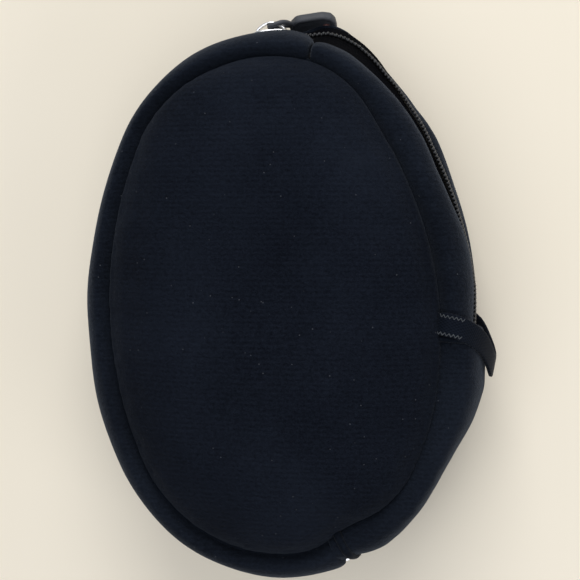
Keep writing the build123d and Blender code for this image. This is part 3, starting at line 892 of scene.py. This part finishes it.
def spine_profile(angle, out, under, top, count):
    """An open line from the front seam over the spine to the back seam."""
    turn = np.linspace(math.pi / 2 + 0.3, -math.pi / 2 - 0.3, count)
    past = np.maximum(np.abs(turn) - math.pi / 2, 0) / 0.3  # the last of it turns down into the seam
    turn = np.clip(turn, -math.pi / 2, math.pi / 2)
    sine, cosine = np.sin(turn), np.maximum(np.cos(turn), 0)
    dz = (top - under - 0.9 * np.abs(sine) ** 30 - 3.4 * past**1.4) * np.sign(sine) * np.abs(sine) ** 0.92
    rho = SPINE_SEAM + (out - under - SPINE_SEAM) * cosine**0.72 - 2.2 * past
    return rho + seam_shift(angle) * np.abs(sine) ** 3, dz


def closed_section(rho, dz, inner_rho, inner_dz):
    """The section between an outer and an inner line."""
    return np.column_stack([np.concatenate([rho, inner_rho[::-1]]), np.concatenate([dz, inner_dz[::-1]])])


def spine_section(seed):
    """The padded spine's section, with puckers towards its seams and its ends drawn in."""
    ripple, swing = waves(seed, 9, 6.0, 15.0), waves(seed + 1, 4, 30.0, 60.0)

    def section(angle):
        s = float(arc_length(angle))
        to_end = min(abs(s - float(arc_length(e))) for e in (SPINE_PAD_START, SPINE_PAD_END))
        out = float(spine_out(angle)) + 0.25 * float(swing(s)) - 1.1 * bump(to_end, 0, 2.0)
        rho, dz = spine_profile(angle, out, 0.0, 20.4, 33)
        rho = rho + 0.22 * float(ripple(s)) * bump(np.abs(dz), 17.0, 3.5)
        inner_rho, inner_dz = spine_profile(angle, out, SPINE_THICKNESS, 20.2, 33)
        return closed_section(rho, dz, np.minimum(inner_rho, rho - 0.2), inner_dz)

    return section


def bend_with_lid(made):
    """The piece crosses the hinge; this only bakes its placement into its mesh, and it does not bend."""
    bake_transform(made)


spine = loft("spine_pad", stations(SPINE_PAD_START, SPINE_PAD_END, 1.7)[0], spine_section(71))
finish_piece(subdivide(spine), WALL_KNIT, None, ["spine_panel"])
bend_with_lid(spine)


def spine_lining_section(angle):
    """A thin bowed section inside the spine."""
    centre = -18.2
    out = float(spine_out(angle)) - 3.4
    turn = np.linspace(0.95, -0.95, 21)
    rho = centre + (out - centre) * np.cos(turn)
    inner_rho = centre + (out - 0.8 - centre) * np.cos(turn)
    dz = 15.8 * np.sin(turn)
    return closed_section(rho, dz, inner_rho, 0.965 * dz)


spine_inside = loft("spine_lining_cloth", stations(298.4, 352.1, 2.0)[0], spine_lining_section)
finish_piece(subdivide(spine_inside), LINING, None, ["spine_lining"])
bend_with_lid(spine_inside)


def piping(name, angle, radius, proud, node):
    """The rolled binding over a cut end of the spine, from the front seam to the back seam."""
    rho, dz = spine_profile(angle, float(spine_out(angle)) + proud, 0.0, 20.6, 41)
    x, y = oval(np.full(len(rho), angle), rho - 0.5)
    sway = waves(81 + int(radius * 10), 5, 7.0, 18.0)
    radii = radius * (1 + 0.08 * sway(np.linspace(0, 60, len(rho))))
    radii[[0, -1]] *= 0.45
    radii[[1, -2]] *= 0.8
    path = np.column_stack([x, y, PARTING + dz])
    tangent = (-math.sin(math.radians(angle)), math.cos(math.radians(angle)), 0)
    made = join_parts(name, [tube(path, radii, 12, up=tangent)])
    finish_piece(subdivide(made), BINDING, None, [node])
    bend_with_lid(made)


piping("spine_piping_bottom", 297.9, 1.5, 0.3, "spine_end_binding_bottom")
piping("spine_piping_side", 356.1, 1.1, 0.1, "spine_end_binding_side")

# ---------------------------------------------------------------- carry loop
STRAP_WIDTH, STRAP_THICKNESS = 7.8, 1.3
STRAP_SIDE = np.array([math.cos(math.radians(80)), math.sin(math.radians(80)), 0])  # its width runs this way
FRONT_LINE = np.array(
    [
        (53.6, -3.6, 17.8), (55.2, -3.9, 20.6), (58.2, -4.4, 22.5), (62.6, -5.2, 22.1), (66.8, -7.2, 18.9),
        (70.2, -10.6, 14.4), (72.5, -15.2, 9.4), (73.7, -18.9, 5.2), (74.0, -20.4, 0.0),
    ]
)
STRAP_LINE = rounded_path(np.vstack([FRONT_LINE, FRONT_LINE[-2::-1] * (1, 1, -1)]), 4)
STRAP_PLACES = np.concatenate([[0], np.cumsum(np.linalg.norm(np.diff(STRAP_LINE, axis=0), axis=1))])
STRAP_LENGTH = STRAP_PLACES[-1]
strap_out = np.cross(STRAP_SIDE, np.gradient(STRAP_LINE, axis=0))
strap_out /= np.linalg.norm(strap_out, axis=1)[:, None]
strap_out *= np.sign(strap_out[len(strap_out) // 2, 0])  # out of the case


def strap_point(place, across, over=0.0):
    """A point of the loop: place along it from its front end, across its width, over its outer face."""
    on_line = np.array([np.interp(place, STRAP_PLACES, v) for v in STRAP_LINE.T])
    outward = np.array([np.interp(place, STRAP_PLACES, v) for v in strap_out.T])
    return on_line + (0, 0, PARTING) + STRAP_SIDE * across + outward * over


def carry_loop():
    """Elastic webbing with slightly rolled edges and its two ends tucked in at the seams."""
    places = np.linspace(0, STRAP_LENGTH, 90)
    across = np.array([-1, -0.97, -0.8, -0.4, 0, 0.4, 0.8, 0.97, 1]) * STRAP_WIDTH / 2
    lift = np.array([-0.35, -0.12, 0, 0, 0, 0, 0, -0.12, -0.35])
    sway = waves(91, 4, 14.0, 40.0)
    verts = []
    for place in places:
        to_end = min(place, STRAP_LENGTH - place)
        narrow = 1 - 0.12 * bump(to_end, 0, 4.0)
        shift = 0.22 * float(sway(place))
        for a, l in zip(across, lift):
            verts.append(strap_point(place, a * narrow + shift, l))
        for a, l in zip(across[::-1], lift[::-1]):
            verts.append(strap_point(place, a * narrow + shift, -STRAP_THICKNESS - l * 0.4))
    around = np.concatenate([across, across[::-1]])
    made = face_outward(make_object("carry_loop", verts, capped_faces(len(places), len(around))))
    layer = made.data.uv_layers.new(name="UVMap")
    for loop in made.data.loops:
        i, j = divmod(loop.vertex_index, len(around))
        layer.data[loop.index].uv = (places[i] * MM, around[j] * MM)
    return made


loop_piece = carry_loop()
finish_piece(subdivide(loop_piece), WEBBING, None, ["carry_strap"])
bend_with_lid(loop_piece)


def bar_tacks(name, flip):
    """Zigzag rows of light thread that hold an end of the loop."""
    parts = []
    along = np.linspace(3.6, 12.4, 13)
    if flip < 0:
        along = STRAP_LENGTH - along
    for edge in (-1, 1):
        across = [edge * (STRAP_WIDTH / 2 - 1.0) + 0.45 * (-1) ** k for k in range(len(along))]
        corners = [strap_point(place, aside, 0.04) for place, aside in zip(along, across)]
        parts += [capsule(start, end, 0.15) for start, end in zip(corners, corners[1:])]
    return join_parts(name, parts)


for side, flip in (("front", 1), ("back", -1)):
    tacks = bar_tacks(f"{side}_bar_tacks", flip)
    finish_piece(tacks, THREAD, f"{side}_half", [f"strap_tacks_{side}"])

# ---------------------------------------------------------------- slider
slider_x, slider_y = (float(v) for v in oval(SLIDER_ANGLE, 0.0))
TURN = math.radians(SLIDER_ANGLE)


def slider_point(x, y, dz):
    """A point in the slider's frame: x along the zip towards +X, y outward."""
    along, outward = (math.sin(TURN), -math.cos(TURN)), (math.cos(TURN), math.sin(TURN))
    return np.array([*(x * np.array(along) + y * np.array(outward) + (slider_x, slider_y)), PARTING + dz])


def curved(x, rho, dz):
    """A point on the end arc: x along it, rho out of it."""
    turn = TURN - x / END_RADIUS
    reach = END_RADIUS + rho
    return np.array([reach * math.cos(turn), END_CENTRE + reach * math.sin(turn), PARTING + dz])


def slider_plate(outer, inner, crown, length, height, taper):
    """A rounded slider plate, crowned on its outer face and narrower towards its tail."""
    turns = np.linspace(0, 2 * np.pi, 48, endpoint=False)
    shape_x = np.sign(np.cos(turns)) * np.abs(np.cos(turns)) ** 0.55 * length
    shape_z = np.sign(np.sin(turns)) * np.abs(np.sin(turns)) ** 0.55 * height
    shape_z = shape_z * (1 - taper * (shape_x / length + 1) / 2)
    levels = [(0.2, outer + crown), (0.6, outer + crown * 0.8), (0.85, outer + crown * 0.25)]
    levels += [(0.97, outer - 0.12), (1.0, outer - 0.4)]
    levels += [(1.0, inner + 0.25), (0.96, inner), (0.5, inner), (0.2, inner)]
    rings = [[curved(x * share, rho, z * share) for x, z in zip(shape_x, shape_z)] for share, rho in levels]
    return np.array(rings).reshape(-1, 3), capped_faces(len(rings), len(turns))


def curved_bar(x_range, rho_range, dz_range, steps=10):
    """A straight-sided bar that follows the end arc."""
    (low, high), (start, end) = rho_range, dz_range
    corners = [(low, start), (high, start), (high, end), (low, end)]
    rings = [[curved(x, rho, dz) for rho, dz in corners] for x in np.linspace(*x_range, steps)]
    return np.array(rings).reshape(-1, 3), capped_faces(steps, 4)


body_parts = [
    slider_plate(1.5, 0.35, 0.35, 6.05, 4.15, 0.16),
    slider_plate(-2.45, -3.55, 0.0, 6.0, 4.1, 0.16),
    curved_bar((-5.4, 4.6), (-1.15, 0.5), (-4.1, -3.35)),
    curved_bar((-5.9, -3.1), (-2.6, 0.5), (-0.42, 0.42), 5),
]
slider = join_parts("slider_shell", body_parts)
bevel(slider, 0.12, 2, 50)
finish_piece(slider, CHROME, "zip_slider", ["slider_body"])

arch = []
for share in np.linspace(-1, 1, 33):
    rise = 3.05 * math.cos(share * math.pi / 2) ** 0.62 - 0.12 * abs(share)
    arch.append(slider_point(5.15 * share, 1.15 + rise, 0))
bridge = join_parts("slider_arch", [tube(arch, 0.62, 14, squash=1.9)])
finish_piece(subdivide(bridge), CHROME, "zip_slider", ["slider_bridge"])

# ---------------------------------------------------------------- pull
LOOP_POINTS = [
    (9.2, 3.2, -7.2), (7.6, 3.4, -6.2), (6.2, 3.9, -2.2), (4.9, 3.9, 1.6), (2.4, 3.2, 2.5),
    (0.0, 2.62, 2.5), (-0.15, 2.62, 0.9), (-0.15, 2.62, -0.9), (0.0, 2.62, -2.5),
    (2.2, 2.9, -2.5), (4.8, 3.4, -3.2), (6.4, 3.6, -6.4), (7.6, 3.4, -8.3), (9.2, 3.2, -8.6),
]
loop_path = rounded_path([slider_point(*p) for p in LOOP_POINTS], 3)
cord = join_parts("pull_loop", [tube(loop_path, 0.85, 12, up=(0.2, 0.9, 0.3))])
finish_piece(cord, RUBBER, "pull_tab", ["pull_cord"])

GRIP_LENGTH, GRIP_WIDTH, GRIP_DEPTH = 16.4, 11.2, 3.2
GRIP_CENTRE = (13.9, 3.15, -8.4)
GRIP_HEADING, GRIP_TILT = math.radians(3.0), math.radians(62.0)
grip_u = np.array([math.cos(GRIP_HEADING), math.sin(GRIP_HEADING), 0])
grip_side = np.array([math.sin(GRIP_HEADING), -math.cos(GRIP_HEADING), 0])
grip_n = grip_side * math.sin(GRIP_TILT) + np.array([0, 0, math.cos(GRIP_TILT)])
grip_v = np.cross(grip_n, grip_u)


def grip_point(u, v, w):
    """A point of the grip: u along it, v across it, w out of its broad face."""
    local = np.array(GRIP_CENTRE) + grip_u * u + grip_v * v + grip_n * w
    return slider_point(*local)


def grip_outline(inset):
    """The grip's outline, moved in: chamfered shoulders at the neck and a rounded far end."""
    length, width = GRIP_LENGTH / 2, GRIP_WIDTH / 2
    corners = [(-length, -2.5), (-length + 3.0, -width), (length - 4.0, -width)]
    corners += [(length - 1.1, -width + 1.3), (length, -1.9)]
    corners += [(u, -v) for u, v in corners[::-1]]
    fine = []
    for k, corner in enumerate(corners):
        after = corners[(k + 1) % len(corners)]
        for share in np.linspace(0, 1, 12, endpoint=False):
            fine.append(np.array(corner) * (1 - share) + np.array(after) * share)
    fine = np.array(fine)
    for _ in range(5):
        fine = (np.roll(fine, 1, 0) + 2 * fine + np.roll(fine, -1, 0)) / 4
    tangent = np.roll(fine, -1, 0) - np.roll(fine, 1, 0)
    tangent /= np.linalg.norm(tangent, axis=1)[:, None]
    return fine + np.column_stack([-tangent[:, 1], tangent[:, 0]]) * inset


def grip():
    """The grip's body: its outline at several heights, with rounded edges and a shallow step on one face."""
    half = GRIP_DEPTH / 2
    levels = [(2.2, half - 0.35), (1.5, half - 0.35), (1.15, half - 0.05), (0.75, half), (0.28, half - 0.22)]
    levels += [(0.0, half - 0.75), (0.0, -half + 0.75), (0.28, -half + 0.22), (0.75, -half), (2.0, -half)]
    rings = np.array([[grip_point(u, v, w) for u, v in grip_outline(inset)] for inset, w in levels])
    return face_outward(make_object("pull_body", rings.reshape(-1, 3), capped_faces(*rings.shape[:2])))


finish_piece(grip(), RUBBER, "pull_tab", ["pull_grip"])

BADGE_PLACE = 4.6  # along the grip from its middle
stud_turns = np.linspace(0, 2 * np.pi, 28, endpoint=False)
stud_rings = []
for radius, height in ((0.5, 0.30), (1.2, 0.28), (1.5, 0.16), (1.6, -0.05), (1.6, -0.5)):
    ring = [(BADGE_PLACE + radius * math.cos(t), radius * math.sin(t)) for t in stud_turns]
    stud_rings.append([grip_point(u, v, GRIP_DEPTH / 2 + height) for u, v in ring])
stud_rings = np.array(stud_rings)
stud = join_parts("pull_stud", [(stud_rings.reshape(-1, 3), capped_faces(*stud_rings.shape[:2]))])
finish_piece(stud, BADGE, "pull_tab", ["pull_badge"])

# ---------------------------------------------------------------- CAD nodes that stay
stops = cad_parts["zip_end_stops"]
paint(stops, CHROME)
bevel(stops, 0.2, 2)

# ---------------------------------------------------------------- floor, light and camera
def floor_material():
    """Smooth pale table top."""
    n = Nodes("floor")
    place = n.position()
    cloud = n.noise(place, 3.0, 3.0)
    grain = n.noise(place, 900.0, 2.0)
    base = n.ramp(cloud, [(0.3, (0.722, 0.665, 0.560)), (0.75, (0.762, 0.708, 0.610))])
    n.link(base, n.shader.inputs["Base Color"])
    n.link(n.bump(grain, 0.05, 0.0001), n.shader.inputs["Normal"])
    return n.finish(Roughness=0.6, Specular_IOR_Level=0.2)


FLOOR = 1500.0  # half of its width
corners = [(-FLOOR, -FLOOR, 0), (FLOOR, -FLOOR, 0), (FLOOR, FLOOR, 0), (-FLOOR, FLOOR, 0)]
floor = make_object("floor", corners, [(0, 1, 2, 3)], smooth=False)
paint(floor, floor_material())


def area_light(name, place, target, size, power, colour):
    """A soft rectangular light that faces a target."""
    data = bpy.data.lights.new(name, "AREA")
    data.shape = "RECTANGLE"
    data.size, data.size_y = size
    data.energy = power
    data.color = colour
    made = bpy.data.objects.new(name, data)
    made.location = place
    made.rotation_mode = "QUATERNION"
    made.rotation_quaternion = (Vector(target) - Vector(place)).to_track_quat("-Z", "Y")
    bpy.context.scene.collection.objects.link(made)


area_light("key", (0.10, 1.10, 0.85), (0, 0, 0.03), (0.9, 0.7), 14.5, (1.0, 0.985, 0.96))
area_light("overhead", (-0.1, -0.25, 1.5), (0, 0, 0), (1.6, 1.6), 11.0, (0.985, 0.99, 1.0))
area_light("side", (0.9, -0.55, 0.6), (0, 0, 0.03), (0.6, 0.6), 3.4, (1.0, 0.98, 0.96))
world = bpy.data.worlds.new("studio")
bpy.context.scene.world = world
world.use_nodes = True
background = world.node_tree.nodes["Background"]
background.inputs["Color"].default_value = (0.93, 0.96, 1.0, 1)
background.inputs["Strength"].default_value = 0.36

SENSOR_WIDTH = 36.0
CAMERA_DISTANCE = 0.420
CAMERA_TILT, CAMERA_TURN = math.radians(10.5), math.radians(20.0)
VIEW_WIDTH = 0.2045  # what the square picture takes in, at the zip's plane
AIM = Vector((0.0025, 0.0053, PARTING * MM))
away = Vector((math.sin(CAMERA_TILT), 0, math.cos(CAMERA_TILT)))
away.rotate(Matrix.Rotation(CAMERA_TURN, 3, "Z"))
camera_data = bpy.data.cameras.new("camera")
camera_data.sensor_width = SENSOR_WIDTH
camera_data.lens = SENSOR_WIDTH * CAMERA_DISTANCE / VIEW_WIDTH
camera_data.clip_start, camera_data.clip_end = 0.01, 10.0
camera = bpy.data.objects.new("camera", camera_data)
camera.location = AIM + away * CAMERA_DISTANCE
camera.rotation_mode = "QUATERNION"
right = Vector((0, 1, 0)).cross(away).normalized()  # the case's long axis is upright in the picture
camera.rotation_quaternion = Matrix((right, away.cross(right), away)).transposed().to_quaternion()
bpy.context.scene.collection.objects.link(camera)
bpy.context.scene.camera = camera
bpy.context.scene.view_settings.view_transform = "Standard"

bpy.context.view_layer.update()
